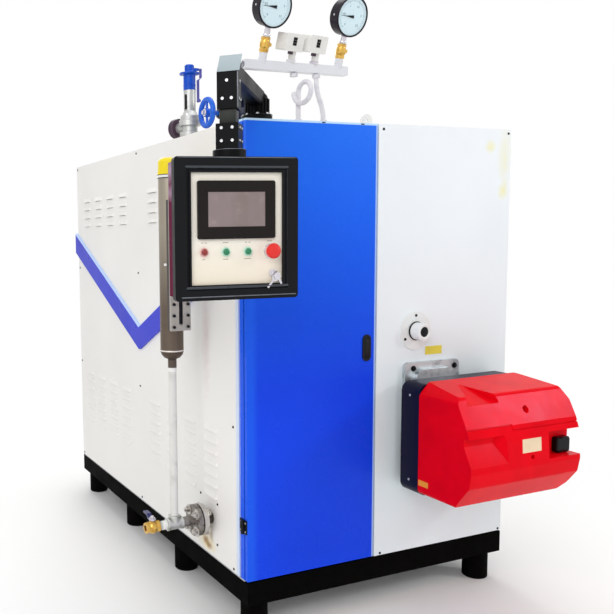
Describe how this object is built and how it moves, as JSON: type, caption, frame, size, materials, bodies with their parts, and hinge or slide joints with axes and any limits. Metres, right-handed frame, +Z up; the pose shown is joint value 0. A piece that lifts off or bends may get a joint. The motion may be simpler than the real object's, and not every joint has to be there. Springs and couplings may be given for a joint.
{
  "type": "industrial boiler",
  "caption": "Gas-fired steam boiler in a sheet-metal cabinet on a footed skid, with burner, water column, valves, gauges and a control panel on a swinging arm.",
  "frame": {"origin": "centre of the front left foot's underside, on the floor", "axes": "+X to the right seen from the front, +Y to the rear, +Z up"},
  "size_m": [1.2603, 1.7473, 1.7629],
  "materials": {
    "skid_black": "satin",
    "panel_white": "satin",
    "front_white": "gloss",
    "door_blue": "gloss",
    "stripe_blue": "gloss",
    "casing_grey": "matte",
    "zinc_plate": "satin",
    "black_metal": "satin",
    "cast_alloy": "matte",
    "burner_navy": "gloss",
    "burner_red": "gloss",
    "black_lens": "gloss",
    "port_white": "satin",
    "stainless": "satin",
    "cap_yellow": "satin",
    "pipe_grey": "satin",
    "flange_steel": "matte",
    "gauge_body": "satin",
    "brass": "satin",
    "valve_blue": "gloss",
    "nickel": "gloss",
    "box_maroon": "satin",
    "bezel_black": "satin",
    "plate_cream": "satin",
    "touch_dark": "gloss",
    "lamp_plastic": "gloss",
    "stop_red": "satin",
    "manifold_white": "satin",
    "dial_case": "gloss",
    "switch_white": "satin"
  },
  "bodies": {
    "boiler": {"feet": "skid_black", "left_skid_beam": "skid_black", "right_skid_beam": "skid_black", "skid_cross_beams": "skid_black", "floor_plate": "casing_grey", "left_side_panel": "panel_white", "left_louvres": "panel_white", "left_chevron": "stripe_blue", "right_side_panel": "panel_white", "right_louvres": "panel_white", "right_chevron": "stripe_blue", "rear_panel": "panel_white", "front_panel": "front_white", "roof_panel": "panel_white", "corner_post": "door_blue", "boiler_casing": "casing_grey", "burner_bay": "casing_grey", "mounting_plate": "zinc_plate", "hinge_posts": "black_metal", "burner_flange": "cast_alloy", "burner_back": "burner_navy", "burner_cover": "burner_red", "burner_knob": "black_lens", "sight_port": "port_white", "water_column": "stainless", "column_cap": "cap_yellow", "column_nozzles": "flange_steel", "water_gauge": "gauge_body", "drain_pipe": "pipe_grey", "drain_tee": "stainless", "drain_valve": "brass", "arm_base": "black_metal", "safety_valve_body": "nickel", "safety_outlet": "black_metal", "safety_valve_cap": "valve_blue", "steam_valve": "valve_blue", "gauge_manifold": "manifold_white", "syphon_pipes": "stainless", "gauge_cocks": "brass", "gauge_stubs": "nickel", "pressure_gauges": "dial_case", "pressure_switches": "switch_white", "flue_collar": "stainless", "water_inlet": "pipe_grey"},
    "door": {"front_door": "door_blue", "door_latch": "black_metal", "hinge_knuckles": "black_metal"},
    "arm": {"swing_arm": "black_metal", "arm_coupling": "black_metal"},
    "panel_box": {"box_disc": "black_metal", "control_box": "box_maroon", "control_bezel": "bezel_black", "control_plate": "plate_cream", "touch_panel": "touch_dark", "pilot_lamps": "lamp_plastic"},
    "stop_button": {"emergency_stop": "stop_red"},
    "drain_handle": {"drain_lever": "valve_blue"},
    "steam_wheel": {"steam_handwheel": "valve_blue"},
    "test_lever": {"safety_lever": "stripe_blue"}
  },
  "joints": [
    {"name": "door_hinge", "type": "hinge", "parent": "boiler", "child": "door", "pos_m": [-0.057, -0.0355, 0.78], "axis": [0, 0, -1], "range_deg": [0, 90]},
    {"name": "arm_swing", "type": "hinge", "parent": "boiler", "child": "arm", "pos_m": [0.008, -0.01, 1.455], "axis": [0, 0, -1], "range_deg": [0, 50]},
    {"name": "box_swivel", "type": "hinge", "parent": "arm", "child": "panel_box", "pos_m": [-0.2317, -0.28568, 1.305], "axis": [0, 0, 1], "range_deg": [-90, 90]},
    {"name": "stop_press", "type": "slide", "parent": "panel_box", "child": "stop_button", "axis": [0.1288, 0.9917, 0], "range_m": [0, 0.004]},
    {"name": "drain_turn", "type": "hinge", "parent": "boiler", "child": "drain_handle", "pos_m": [-0.24, 0.159, 0.293], "axis": [0, 0, 1], "range_deg": [0, 90]},
    {"name": "steam_turn", "type": "hinge", "parent": "boiler", "child": "steam_wheel", "pos_m": [0.023, 0.3, 1.475], "axis": [-1, 0, 0], "range_deg": [0, 720]},
    {"name": "test_lift", "type": "hinge", "parent": "boiler", "child": "test_lever", "pos_m": [0.039, 0.4, 1.622], "axis": [0, -1, 0], "range_deg": [0, 25]}
  ]
}
